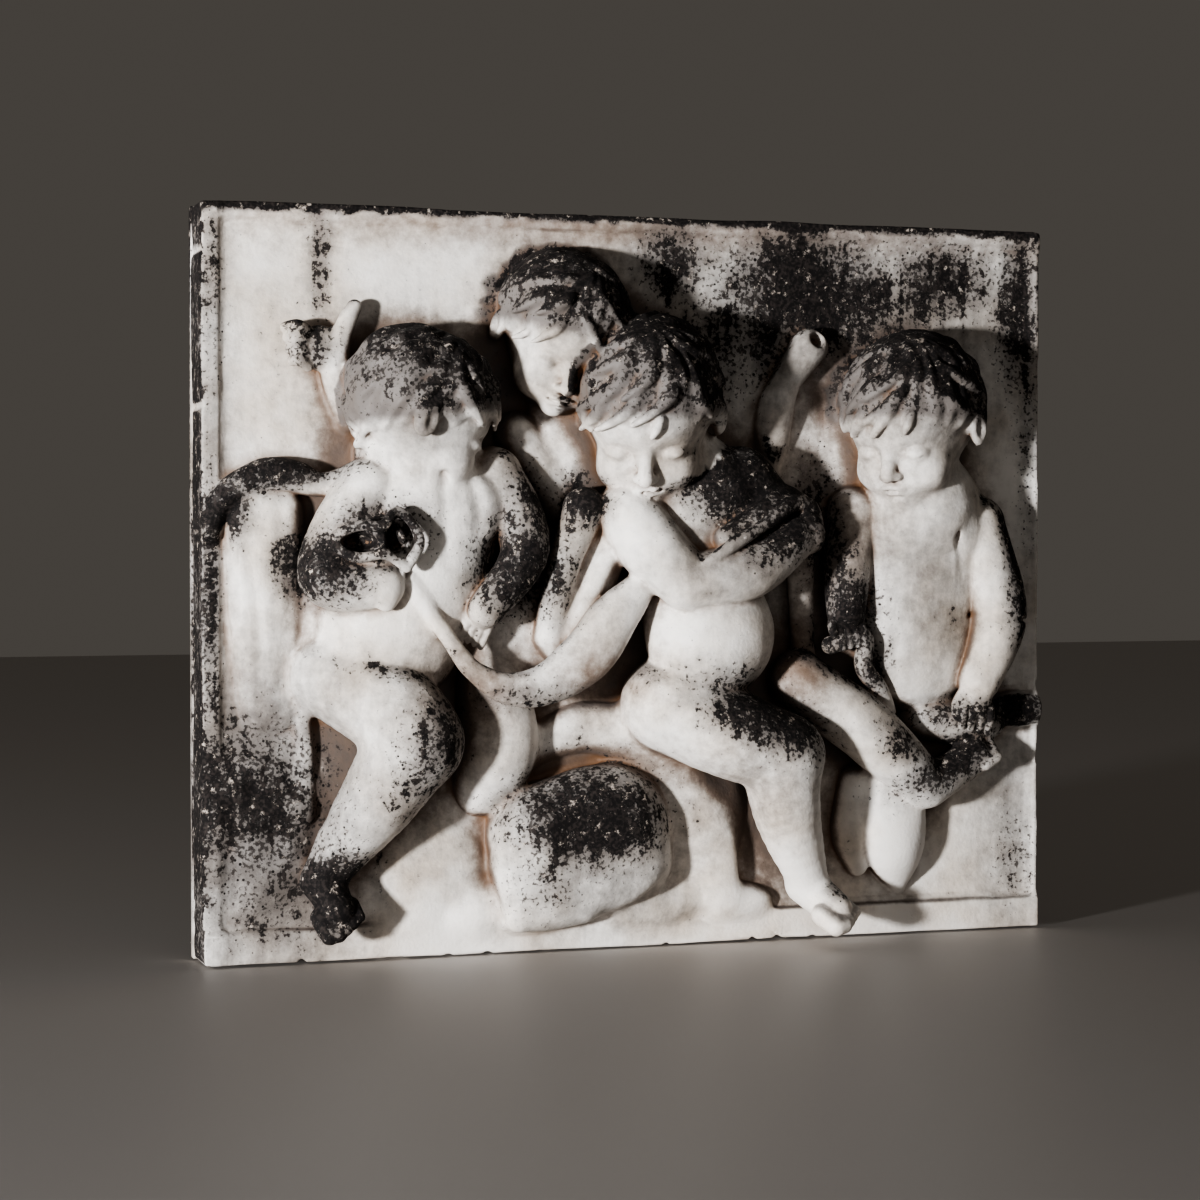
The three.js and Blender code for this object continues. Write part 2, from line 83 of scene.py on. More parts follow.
CLAY_LOW = at(-WIDTH / 2 - 8, -HEIGHT / 2 - 8, -8)
CLAY_HIGH = at(WIDTH / 2 + 8, HEIGHT / 2 + 8, 184)
CELLS = np.ceil((CLAY_HIGH - CLAY_LOW) / CELL).astype(int) + 1
LINES = [CLAY_LOW[i] + CELL * np.arange(CELLS[i], dtype=np.float32) for i in range(3)]
clay = np.full(CELLS, FAR, np.float32)


def window(low, high, margin):
    ends = [np.searchsorted(LINES[i], [low[i] - margin, high[i] + margin]) for i in range(3)]
    cut = tuple(slice(*end) for end in ends)
    return cut, np.ix_(*(LINES[i][cut[i]] for i in range(3)))


def soft_min(one, other, blend):
    near = np.maximum(blend - np.abs(one - other), 0) / blend
    return np.minimum(one, other) - near * near * (blend / 4)


def add(form, blend=5.0):
    low, high, distance = form
    cut, grid = window(low, high, blend + 3)
    clay[cut] = soft_min(clay[cut], distance(*grid), blend)


def carve(form, blend=3.0):
    low, high, distance = form
    cut, grid = window(low, high, blend + 3)
    clay[cut] = -soft_min(-clay[cut], distance(*grid), blend)


def block(low, high, rounding):
    middle = (low + high) / 2
    half = np.abs(high - low) / 2 - rounding

    def distance(x, d, z):
        reach = [np.abs(line - c) - h for line, c, h in zip((x, d, z), middle, half)]
        outside = np.sqrt(sum(np.maximum(r, 0) ** 2 for r in reach))
        inside = np.minimum(np.maximum(np.maximum(reach[0], reach[1]), reach[2]), 0)
        return outside + inside - rounding

    return np.minimum(low, high), np.maximum(low, high), distance


RIGHT = WIDTH / 2
TOP = HEIGHT / 2
add(block(at(-RIGHT, -TOP, 0), at(RIGHT, TOP, FIELD_DEPTH), 3), 0.1)
add(block(at(-RIGHT, TOP - TOP_RIM, 20), at(RIGHT, TOP, EDGE_DEPTH), 2.5), 6)
add(block(at(-RIGHT, -TOP, 20), at(-RIGHT + LEFT_RIM, TOP, EDGE_DEPTH), 2.5), 8)
add(block(at(RIGHT - 6, -TOP, 20), at(RIGHT, TOP, EDGE_DEPTH), 2.5), 12)
add(block(at(-RIGHT, -TOP, 20), at(RIGHT, -TOP + LEDGE_HEIGHT, LEDGE_DEPTH), 4), 10)
for low, high in (
    (at(-RIGHT - 9, -TOP - 9, LIP_DEPTH), at(-RIGHT + GROOVE_CUT, TOP + 9, LIP_DEPTH + GROOVE_WIDTH)),
    (at(RIGHT - GROOVE_CUT, -TOP - 9, LIP_DEPTH), at(RIGHT + 9, TOP + 9, LIP_DEPTH + GROOVE_WIDTH)),
    (at(-RIGHT - 9, -TOP - 9, LIP_DEPTH), at(RIGHT + 9, -TOP + GROOVE_CUT, LIP_DEPTH + GROOVE_WIDTH)),
    (at(-RIGHT - 9, TOP - GROOVE_CUT, LIP_DEPTH), at(RIGHT + 9, TOP + 9, LIP_DEPTH + GROOVE_WIDTH)),
):
    carve(block(low, high, 1), 2)


# The infant on the left, of the same porcelain and moulded as one with the slab: chest to the front,
# head turned away in lost profile, one hand holding up the bunched cloth and the other reaching into it.
# The ways to shape limbs, heads, hands and feet are set out here, and the other infants use them too.
def through(places, share):
    spans = len(places) - 1
    i = min(int(share * spans), spans - 1)
    t = share * spans - i
    ends = [places[max(i - 1, 0)], places[i], places[i + 1], places[min(i + 2, spans)]]
    slope_in = (ends[2] - ends[0]) / 2
    slope_out = (ends[3] - ends[1]) / 2
    return (
        (2 * t**3 - 3 * t**2 + 1) * ends[1]
        + (t**3 - 2 * t**2 + t) * slope_in
        + (3 * t**2 - 2 * t**3) * ends[2]
        + (t**3 - t**2) * slope_out
    )


def limb(joints, girths, flat=1.0, steps=7):
    shares = np.linspace(0, 1, steps * (len(joints) - 1) + 1)
    line = [through(joints, share) for share in shares]
    rounds = [through([float(g) for g in girths], share) for share in shares]
    thick = max(rounds)
    low = np.min(line, axis=0) - thick
    high = np.max(line, axis=0) + thick

    def distance(x, d, z):
        field = np.full((x.size, d.size, z.size), FAR, np.float32)
        lines = [x.ravel(), d.ravel(), z.ravel()]
        for a, b, ra, rb in zip(line[:-1], line[1:], rounds[:-1], rounds[1:]):
            reach = max(ra, rb) + 16
            cut = tuple(
                slice(*np.searchsorted(lines[i], [min(a[i], b[i]) - reach, max(a[i], b[i]) + reach]))
                for i in range(3)
            )
            px, pd, pz = np.ix_(*(lines[i][cut[i]] for i in range(3)))
            stretch = np.array([1, 1 / flat, 1], np.float32)
            way = (b - a) * stretch
            px, pd, pz = px - a[0], (pd - a[1]) / flat, pz - a[2]
            share = np.clip((px * way[0] + pd * way[1] + pz * way[2]) / max(way @ way, 1e-6), 0, 1)
            wx, wd, wz = px - share * way[0], pd - share * way[1], pz - share * way[2]
            off = np.sqrt(wx * wx + wd * wd + wz * wz) + 1e-6
            gap = off - (ra + share * (rb - ra))
            if flat != 1:
                gap = gap / np.sqrt(1 + (wd / off) ** 2 * (1 / flat**2 - 1))
            field[cut] = np.minimum(field[cut], gap)
        return field

    return low, high, distance


def egg_gap(x, d, z, middle, half):
    qx, qd, qz = (x - middle[0]) / half[0], (d - middle[1]) / half[1], (z - middle[2]) / half[2]
    one = np.sqrt(qx * qx + qd * qd + qz * qz)
    two = np.sqrt((qx / half[0]) ** 2 + (qd / half[1]) ** 2 + (qz / half[2]) ** 2)
    return one * (one - 1) / np.maximum(two, 1e-6)


def egg(centre, across, up, forward, turn=0.0):
    c, s = math.cos(math.radians(turn)), math.sin(math.radians(turn))
    size = max(across, up)
    reach = np.array([size, forward, size], np.float32)

    def distance(x, d, z):
        px, pz = x - centre[0], z - centre[2]
        return egg_gap(px * c + pz * s, d - centre[1], pz * c - px * s, (0, 0, 0), (across, forward, up))

    return centre - reach, centre + reach, distance


def crease(centre, axis, girth, depth=1.6):
    axis = np.asarray(axis, np.float32)
    axis = axis / np.linalg.norm(axis)
    reach = np.full(3, girth + 4, np.float32)

    def distance(x, d, z):
        px, pd, pz = x - centre[0], d - centre[1], z - centre[2]
        along = px * axis[0] + pd * axis[1] + pz * axis[2]
        off = np.sqrt(np.maximum(px * px + pd * pd + pz * pz - along * along, 0)) - girth
        return np.sqrt(along * along + off * off) - depth

    return centre - reach, centre + reach, distance


def face_gap(u, v, w):
    pair = np.abs(u)
    gap = egg_gap(u, v, w, (0, -0.06, 0.04), (0.98, 1.12, 1.06))
    for middle, half, blend in (
        ((0, 0.36, -0.66), (0.66, 0.64, 0.66), 0.3),
        ((0, 0.5, 0.05), (0.74, 0.58, 0.62), 0.25),
        ((0, 0.84, -1.14), (0.22, 0.18, 0.17), 0.16),
        ((0, 0.86, -0.95), (0.32, 0.2, 0.2), 0.16),
    ):
        gap = soft_min(gap, egg_gap(u, v, w, middle, half), blend)
    gap = soft_min(gap, egg_gap(pair, v, w, (0.4, 0.64, -0.78), (0.34, 0.34, 0.34)), 0.2)
    gap = -soft_min(-gap, egg_gap(pair, v, w, (0.4, 1.12, -0.4), (0.25, 0.17, 0.13)), 0.16)
    gap = soft_min(gap, egg_gap(pair, v, w, (0.4, 0.85, -0.43), (0.19, 0.17, 0.135)), 0.04)
    gap = soft_min(gap, stroke(u, v, w, (0, 1.0, -0.36), (0, 1.19, -0.7), 0.08, 0.115), 0.1)
    gap = soft_min(gap, egg_gap(pair, v, w, (0.11, 1.09, -0.74), (0.08, 0.1, 0.07)), 0.05)
    gap = soft_min(gap, egg_gap(pair, v, w, (0.08, 1.05, -0.93), (0.12, 0.08, 0.05)), 0.05)
    gap = soft_min(gap, egg_gap(u, v, w, (0, 1.03, -1.03), (0.15, 0.08, 0.055)), 0.05)
    gap = -soft_min(-gap, egg_gap(pair, v, w, (0.06, 1.17, -0.82), (0.04, 0.05, 0.03)), 0.03)
    gap = -soft_min(-gap, stroke(pair, v, w, (0, 1.12, -0.98), (0.2, 0.98, -0.96), 0.022, 0.02), 0.03)
    gap = -soft_min(-gap, stroke(pair, v, w, (0.24, 1.0, -0.47), (0.4, 1.02, -0.51), 0.02, 0.02), 0.03)
    gap = -soft_min(-gap, stroke(pair, v, w, (0.4, 1.02, -0.51), (0.57, 0.93, -0.46), 0.02, 0.02), 0.03)
    gap = -soft_min(-gap, egg_gap(u, v, w, (0, 1.06, -1.1), (0.13, 0.06, 0.04)), 0.06)
    gap = soft_min(gap, egg_gap(pair, v, w, (1.02, -0.06, -0.34), (0.13, 0.2, 0.29)), 0.06)
    gap = -soft_min(-gap, egg_gap(pair, v, w, (1.16, 0.02, -0.34), (0.1, 0.1, 0.17)), 0.05)
    return gap


def stroke(u, v, w, start, end, first, last):
    way = [e - s for s, e in zip(start, end)]
    pu, pv, pw = u - start[0], v - start[1], w - start[2]
    share = np.clip((pu * way[0] + pv * way[1] + pw * way[2]) / sum(step * step for step in way), 0, 1)
    off = (pu - share * way[0]) ** 2 + (pv - share * way[1]) ** 2 + (pw - share * way[2]) ** 2
    return np.sqrt(off) - (first + share * (last - first))


HAIRLINE = -0.4
HAIR_LEAN = 0.45


heads = []


def head(centre, half, yaw, pitch, roll, seed, locks=64, curl=0.45):
    a, b, c = (math.radians(angle) for angle in (yaw, pitch, roll))
    face = at(math.sin(a) * math.cos(b), -math.sin(b), math.cos(a) * math.cos(b))
    right = at(math.cos(a), 0, -math.sin(a))
    crown = at(math.sin(a) * math.sin(b), math.cos(b), math.cos(a) * math.sin(b))
    crown, right = crown * math.cos(c) + right * math.sin(c), right * math.cos(c) - crown * math.sin(c)
    reach = np.full(3, 1.5 * half, np.float32)

    def distance(x, d, z):
        px, pd, pz = (x - centre[0]) / half, (d - centre[1]) / half, (z - centre[2]) / half
        u, v, w = [px * axis[0] + pd * axis[1] + pz * axis[2] for axis in (right, face, crown)]
        gap = face_gap(u, v, w)
        cap = egg_gap(u, v, w, (0, -0.08, 0.08), (1.07, 1.2, 1.11))
        turn = np.arctan2(u, v)
        down = np.arctan2(np.sqrt(u * u + v * v), w)
        comb = 2.6 * np.sin(2.4 * down + 2 * turn + seed) + 0.9 * np.sin(7 * down + 5 * turn)
        strand = np.sin(9 * turn + comb) * 0.6 + np.sin(17 * turn - 1.3 * comb) * 0.35
        cap = cap - 0.06 * strand * np.clip(np.sin(down) * 1.6 - 0.2, 0, 1)
        cap = -soft_min(-cap, (w - HAIR_LEAN * v - HAIRLINE + 0.05 * strand) * 0.85, 0.12)
        return soft_min(gap, cap, 0.05) * half

    add((centre - reach, centre + reach, distance), 4)
    heads.append((centre, half, face, crown))
    draw = np.random.default_rng(seed)
    for i in range(locks):
        tilt = math.acos(1 - 1.75 * (i + 0.5) / locks)
        round_about = i * 2.39996 + draw.uniform(-0.3, 0.3)
        bend = curl * (1 if math.sin(2 * round_about + seed) > 0 else -1) * draw.uniform(0.6, 1.4)
        joints = []
        for step in range(5):
            down = tilt + 0.11 * step
            turn = round_about + bend * (step / 4) ** 1.3 / max(math.sin(down), 0.3)
            u, v, w = math.sin(down) * math.sin(turn), math.sin(down) * math.cos(turn), math.cos(down)
            if w - HAIR_LEAN * v < HAIRLINE - 0.1 or (abs(u) > 0.86 and w < -0.05):
                break
            skin = 1 / math.sqrt((u / 1.03) ** 2 + (v / 1.16) ** 2 + (w / 1.09) ** 2) + 0.018 * step
            place = (u * right + v * face + w * crown) * skin * half
            joints.append(centre + place.astype(np.float32))
        if len(joints) > 2:
            thick = half * draw.uniform(0.1, 0.15)
            taper = np.linspace(1, 0.35, len(joints)) * np.where(np.arange(len(joints)) == 0, 0.6, 1)
            add(limb(joints, thick * taper, steps=3), 2.8)


def hand(wrist, reach, across, curl, size, spread=0.24, slim=1.0, long=1.0):
    along = reach / np.linalg.norm(reach)
    beside = across / np.linalg.norm(across)

    def place(forward, side, bent):
        return (wrist + (along * forward + beside * side + curl * bent) * size).astype(np.float32)

    add(limb([place(0, 0, 0), place(0.5, 0, 0)], [0.34 * size, 0.42 * size], 0.75), 4)
    for step in (-1.5, -0.5, 0.5, 1.5):
        side = step * spread
        tips = [0.6 + 0.4 * long, 0.6 + 0.65 * long]
        joints = [place(0.6, side, 0), place(tips[0], side * 1.1, 0.1), place(tips[1], side * 1.1, 0.42)]
        add(limb(joints, [0.15 * size * slim, 0.14 * size * slim, 0.12 * size * slim]), 1.2)
    thumb = [place(0.2, -0.4, 0.1), place(0.5, -0.62, 0.25), place(0.8, -0.62, 0.35)]
    add(limb(thumb, [0.18 * size, 0.17 * size, 0.14 * size]), 2.5)


def foot(heel, toes, across, size):
    beside = across / np.linalg.norm(across)
    along = (toes - heel) / np.linalg.norm(toes - heel)
    add(limb([heel, (heel + toes) / 2, toes], [0.5 * size, 0.46 * size, 0.42 * size]), 6)
    for step in (-2, -1, 0, 1, 2):
        girth = (0.2 - 0.03 * step) * size
        base = toes + beside * (step * 0.2 * size)
        tip = base + along * ((0.5 - 0.05 * abs(step + 1)) * size)
        add(limb([base.astype(np.float32), tip.astype(np.float32)], [girth, girth * 0.9]), 1.8)


head(at(-211, 157, 90), 55, 88, 18, 0, seed=3)
add(limb([at(-232, 112, 74), at(-206, 92, 80)], [36, 42]), 8)
add(limb([at(-203, 68, 78), at(-205, 20, 82), at(-232, -46, 70)], [60, 58, 58], 0.62), 10)
for step in range(5):
    nape = at(-254 + 9 * step, 138 - 6 * step, 90 + 5 * step)
    add(limb([nape, nape + at(-7, -12, 2), nape + at(-14 + 3 * step, -18, -2)], [10, 9, 5]), 4)
add(egg(at(-224, 66, 102), 32, 28, 16), 12)
add(egg(at(-168, 66, 102), 28, 28, 16), 12)
add(limb([at(-258, 82, 84), at(-296, 10, 94), at(-252, 0, 112)], [29, 26, 19]), 3)
carve(limb([at(-246, 64, 122), at(-262, 40, 122), at(-272, 24, 118)], [2, 3, 2]), 8)
add(limb([at(-146, 94, 82), at(-122, 32, 102), at(-160, -22, 112)], [27, 22, 16]), 2.5)
carve(limb([at(-172, 86, 118), at(-166, 50, 120), at(-172, 10, 122)], [2, 3, 2]), 9)
carve(limb([at(-200, 96, 122), at(-198, 60, 122), at(-196, 20, 122)], [1, 2, 1]), 10)
hand(at(-156, -18, 106), at(-0.5, -1, -0.1), at(1, -0.5, 0), at(0, -0.5, -0.6), 25)
add(limb([at(-292, -80, 62), at(-240, -108, 90), at(-221, -136, 102)], [34, 42, 41]), 10)
add(limb([at(-221, -136, 102), at(-256, -192, 90), at(-288, -240, 82)], [41, 32, 21]), 8)
foot(at(-298, -254, 80), at(-288, -280, 92), at(1, 0.4, 0), 38)
add(limb([at(-140, -92, 62), at(-137, -146, 66), at(-148, -178, 58)], [33, 36, 28], 0.8), 8)

# The raised hand behind the left infant, in low relief on the field.
# It is pressed up from the slab itself, with the thumb upright and the fingers bent and roughly parted.
add(limb([at(-266, 146, 52), at(-281, 186, 61), at(-279, 214, 64)], [15, 14, 10]), 5)
add(limb([at(-280, 206, 66), at(-274, 225, 69), at(-266, 240, 66)], [9, 8, 7]), 3)
add(egg(at(-296, 204, 62), 19, 20, 13, 20), 4)
for step in range(4):
    knuckle = at(-307, 217 - 9.5 * step, 67)
    add(limb([knuckle, knuckle + at(-10, 5, 5), knuckle + at(-19 + 2 * step, 4, -1)], [5.6, 5.4, 5]), 1.2)

# The infant behind, in low relief on the slab, looking down over the others' shoulders.
# One forearm comes forward, upright, into the cloth.
head(at(-78, 230, 72), 54, 0, 26, 14, seed=7)
add(limb([at(-72, 165, 58), at(-58, 110, 56)], [34, 52], 0.5), 8)
add(limb([at(-118, 132, 60), at(-74, 64, 64)], [20, 18]), 6)
add(limb([at(-66, 66, 96), at(-86, 16, 98), at(-98, -46, 90)], [19, 15, 12]), 5)

# The infant in the middle, nearest the viewer and almost free of the slab: bowed head, arms crossed over
# the chest, seated on the rock, one leg hanging to the ledge and the other stretched out to the right.
head(at(-8, 164, 100), 61, -22, 30, 0, seed=11)
add(limb([at(36, 106, 80), at(60, 78, 82)], [36, 44]), 10)
add(limb([at(34, 60, 80), at(44, 0, 84), at(52, -46, 94)], [56, 55, 60], 0.78), 10)
add(limb([at(84, 88, 84), at(110, 62, 88)], [34, 30]), 5)
carve(limb([at(8, -88, 138), at(46, -94, 146), at(92, -88, 140)], [1.5, 2.5, 1.5]), 5)
carve(limb([at(4, -64, 140), at(52, -68, 150), at(104, -62, 136)], [1, 1.5, 1]), 7)
add(limb([at(18, -108, 86), at(66, -134, 104), at(118, -154, 110)], [45, 41, 35]), 6)
add(limb([at(118, -154, 110), at(121, -200, 108), at(147, -268, 94)], [35, 31, 19]), 8)
foot(at(148, -276, 88), at(166, -296, 112), at(1, 0.3, -0.47), 38)
add(limb([at(146, -90, 74), at(206, -134, 84), at(264, -184, 82)], [27, 29, 24]), 8)
foot(at(272, -190, 82), at(322, -164, 78), at(0.4, -0.5, 1), 40)
add(limb([at(-26, 62, 100), at(-8, 30, 116), at(20, 1, 124)], [29, 30, 25]), 3)
add(limb([at(20, 1, 124), at(78, 12, 128), at(124, 40, 118)], [25, 25, 20]), 3)
hem_line = [
    at(26, 14, 142),
    at(56, 34, 146),
    at(94, 54, 136),
    at(120, 70, 122),
    at(142, 66, 114),
    at(152, 44, 110),
]
add(limb(hem_line, [4, 5, 6, 8, 8, 5]), 2.5)
add(limb([joint + at(-2, 6, -16) for joint in hem_line[1:5]], [10, 13, 12, 8]), 4)
add(egg(at(138, 46, 116), 15, 20, 17, 15), 2.5)
for step in range(3):
    carve(limb([at(126 + 5 * step, 60 - 11 * step, 136), at(152, 52 - 10 * step, 124)], [1.5, 1.5]), 3)

# The infant on the right, half sunk in the slab: head turned to the left and bowed, one arm propped
# on a stone and the other holding the cloth.
head(at(251, 158, 94), 59, -50, 20, 0, seed=5)
add(limb([at(262, 98, 74), at(268, 70, 72)], [40, 54]), 10)
add(limb([at(272, 46, 62), at(266, 0, 64), at(270, -64, 60)], [72, 66, 58], 0.62), 10)
add(egg(at(246, 46, 92), 30, 26, 16), 12)
add(egg(at(300, 46, 90), 26, 26, 16), 12)
add(limb([at(322, 50, 74), at(341, -32, 88), at(320, -92, 92)], [31, 27, 20]), 3)
carve(limb([at(284, 56, 112), at(296, 20, 106), at(306, -12, 104)], [1.5, 2.5, 2]), 7)
carve(limb([at(226, 26, 112), at(252, 16, 112), at(284, 24, 108)], [1, 1.5, 1]), 8)
carve(crease(at(338, -34, 88), (0.1, 0, 1), 27), 5)
add(limb([at(204, 62, 66), at(192, 10, 80), at(188, -26, 88)], [25, 22, 18]), 3)
hand(at(188, -18, 88), at(0.1, -1, 0.2), at(1, 0.2, 0), at(0, -0.5, 0.3), 28)

# The raised arm to the right of the middle infant, in low relief on the field.
# Its fist is hollow, moulded to hold something that is gone.
add(limb([at(126, 108, 44), at(130, 156, 57), at(140, 184, 62)], [17, 18, 13]), 6)
carve(crease(at(139, 182, 62), (0.4, 0, 1), 14), 3)
add(limb([at(140, 184, 62), at(160, 214, 65)], [14, 17]), 4)
carve(egg(at(164, 221, 80), 8, 8, 16), 3)

# The swag of cloth slung between the hands of the left and middle infants, modelled in the porcelain.
# It thickens to the right of its lowest point, and its end curls open in the left fist.
add(egg(at(-240, -44, 66), 64, 46, 38, -20), 14)
add(egg(at(-112, -30, 56), 72, 66, 26), 10)
add(limb([at(-28, 62, 86), at(-52, 10, 88), at(-80, -52, 84)], [16, 20, 22], 0.7), 8)
add(limb([at(-8, 22, 112), at(-44, -20, 106), at(-76, -56, 98)], [4, 6, 6]), 4)
add(limb([at(-30, 48, 100), at(-58, -4, 100), at(-80, -44, 96)], [5, 7, 6]), 5)
add(
    limb(
        [
            at(-228, 4, 114),
            at(-196, -44, 112),
            at(-172, -74, 112),
            at(-142, -90, 112),
            at(-106, -87, 112),
            at(-70, -64, 112),
            at(-45, -32, 112),
            at(-18, 0, 114),
            at(-8, 20, 114),
        ],
        [6, 7, 9, 14, 19, 24, 22, 13, 5],
        0.7,
    ),
    4,
)
add(egg(at(-256, 37, 102), 38, 25, 28), 3)
add(
    limb(
        [
            at(-236, 16, 132),
            at(-225, 38, 132),
            at(-242, 62, 130),
            at(-258, 50, 136),
            at(-276, 50, 130),
            at(-296, 38, 120),
            at(-279, 24, 130),
            at(-256, 27, 136),
            at(-236, 16, 132),
        ],
        [6] * 9,
    ),
    3,
)
carve(egg(at(-275, 37, 132), 16, 7, 24), 3)
carve(egg(at(-242, 40, 134), 10, 15, 26), 3)
add(egg(at(-238, 42, 112), 4, 9, 20, 20), 2)
hand(at(-250, -14, 118), at(0.15, 1, 0.1), at(1, 0, 0), at(0, 0.1, -0.7), 25)

# The drapery over the shoulder on the left: a rolled edge, and a sheet with upright folds hanging from it.
# Both are modelled flat against the field.
add(limb([at(-344, 58, 54), at(-341, -30, 55), at(-339, -104, 53)], [35, 32, 24], 0.5), 6)
carve(limb([at(-330, 60, 74), at(-322, 0, 74), at(-330, -90, 70)], [2, 3, 2]), 8)
carve(limb([at(-362, 40, 72), at(-354, -20, 73), at(-346, -110, 68)], [1, 2, 1]), 8)
for step in range(3):
    add(limb([at(-364 + 20 * step, 66, 56), at(-353 + 13 * step, -108 - 4 * step, 52)], [10, 8], 1.1), 9)
add(
    limb(
        [at(-300, -10, 56), at(-302, -60, 56), at(-310, -110, 56), at(-306, -156, 55), at(-308, -200, 53)],
        [14, 12, 8, 7, 6],
    ),
    8,
)
add(
    limb(
        [
            at(-392, 46, 56),
            at(-380, 74, 60),
            at(-350, 93, 64),
            at(-322, 94, 66),
            at(-296, 86, 68),
            at(-272, 94, 74),
            at(-250, 104, 80),
        ],
        [11, 12, 14, 14, 11, 10, 9],
    ),
    5,
)

# The cloth falling from the middle infant's forearm, and its twisted end in the right infant's fist.
# A low fold lies on the field behind the raised arm, and two flaps hang below the outstretched leg.
add(limb([at(144, 18, 84), at(150, -30, 72), at(156, -70, 66)], [14, 12, 10], 0.8), 6)
add(
    limb(
        [at(176, -58, 82), at(204, -52, 90), at(206, -78, 88), at(222, -98, 84), at(239, -121, 76)],
        [9, 9, 9, 8, 4],
    ),
    4,
)
add(limb([at(176, 206, 50), at(206, 168, 50), at(212, 96, 50)], [8, 22, 32], 0.4), 8)
add(limb([at(212, -188, 60), at(202, -232, 62), at(212, -264, 58)], [19, 16, 10]), 4)
add(limb([at(240, -192, 60), at(246, -240, 62), at(256, -284, 54)], [36, 32, 8], 0.75), 5)

# The ground, moulded with the slab: the boulder in the middle with cloth laid round it,
# the stone at the right under the propped hand, and the rough bank at the left.
add(egg(at(30, -206, 48), 74, 88, 28), 14)
add(egg(at(-205, -255, 44), 72, 62, 24), 16)
add(
    limb(
        [at(-108, -150, 50), at(-52, -130, 52), at(8, -150, 58), at(56, -212, 60), at(74, -284, 62)],
        [18, 24, 26, 24, 20],
        0.8,
    ),
    12,
)


def boulder(centre, across, up, forward, rounding, turn):
    c, n = math.cos(math.radians(turn)), math.sin(math.radians(turn))
    size = max(across, up) * 1.4
    low, high, inside = block(at(-across, -up, -forward), at(across, up, forward), rounding)

    def distance(x, d, z):
        px, pz = x - centre[0], z - centre[2]
        return inside(px * c + pz * n, d - centre[1] + 0 * px, pz * c - px * n)

    return centre - at(size, size, forward), centre + at(size, size, forward), distance


add(boulder(at(-60, -236, 62), 82, 66, 44, 43, 12), 6)
add(egg(at(-40, -214, 74), 58, 44, 34, -20), 14)
add(boulder(at(-96, -270, 58), 42, 36, 36, 14, 8), 12)
carve(boulder(at(30, -296, 112), 84, 34, 34, 12, 36), 10)
carve(limb([at(-132, -258, 112), at(-80, -262, 116), at(-20, -238, 112)], [2, 3, 2]), 10)
add(egg(at(-150, -292, 52), 34, 24, 18, 20), 10)
add(egg(at(10, -292, 56), 60, 20, 20, 6), 10)
add(egg(at(92, -292, 56), 36, 18, 16), 10)
add(egg(at(306, -132, 62), 54, 22, 28, -4), 6)
add(egg(at(376, -122, 52), 36, 18, 20), 8)
add(egg(at(-352, -215, 44), 60, 92, 20), 12)
hand(at(318, -96, 92), at(-0.1, -1, 0.3), at(1, -0.2, 0), at(0, -0.8, -0.5), 32, 0.26, long=0.6)

# The modelled surface: slow waves of hand work all over the porcelain, and rock left rough from the tool.
# The edges of the slab have worn and chipped since.
SLOW_RISE = 1.1
SLOW_LENGTH = 46
TOOL_RISE = 0.5
TOOL_LENGTH = 15
BANK_RISE = 5
BANK_LENGTH = 18
STONE_RISE = 4
STONE_LENGTH = 26
EDGE_WEAR = 1.2
EDGE_LENGTH = 60
NICK_DEPTH = 5
NICK_LENGTH = 12
NICK_RARITY = 0.45
EDGE_INSET = 1.4


def waves(size, seed):
    draw = np.random.default_rng(seed)
    knots = [np.arange(0, np.ptp(LINES[i]) + 2 * size, size) + LINES[i][0] for i in range(3)]
    grid = draw.uniform(-1, 1, [len(k) for k in knots]).astype(np.float32)
    for i in range(3):
        share = (LINES[i] - knots[i][0]) / size
        lower = np.minimum(share.astype(int), len(knots[i]) - 2)
        part = share - lower
        part = (part * part * (3 - 2 * part)).astype(np.float32)
        part = part.reshape([-1 if k == i else 1 for k in range(3)])
        grid = np.take(grid, lower, axis=i) * (1 - part) + np.take(grid, lower + 1, axis=i) * part
    return grid


clay += SLOW_RISE * waves(SLOW_LENGTH, 1)
clay += TOOL_RISE * waves(TOOL_LENGTH, 2)
x, d, z = np.ix_(*LINES)
bank = np.clip(1 - np.sqrt(((x + 352) / 66) ** 2 + ((z + 205) / 100) ** 2), 0, 1)
bank = bank * np.clip((d - 40) / 20, 0, 1)
clay += BANK_RISE * np.minimum(bank * 2, 1) * waves(BANK_LENGTH, 4)
stone = np.clip(1 - np.sqrt(((x + 58) / 92) ** 2 + ((z + 232) / 76) ** 2), 0, 1)
stone = stone * np.clip((d - 50) / 20, 0, 1)
clay += STONE_RISE * np.minimum(stone * 3, 1) * waves(STONE_LENGTH, 5)
ragged = waves(EDGE_LENGTH, 6)[:, :1, :]
nicks = np.maximum(waves(NICK_LENGTH, 7)[:, :1, :] - NICK_RARITY, 0)
outline = block(at(-RIGHT, -TOP, 0), at(RIGHT, TOP, 200), 2)
edge = outline[2](x, d, z)
clay = np.maximum(clay, edge + (EDGE_WEAR * ragged + NICK_DEPTH * nicks) * (d > 14) + EDGE_INSET)

# The finished moulding: slab, figures, cloth and rock in one piece of porcelain.
# Its surface is drawn from the clay as one closed skin, thinned where it is flat,
# and the few closed bubbles left inside the clay are dropped.
TRIANGLES = 190000

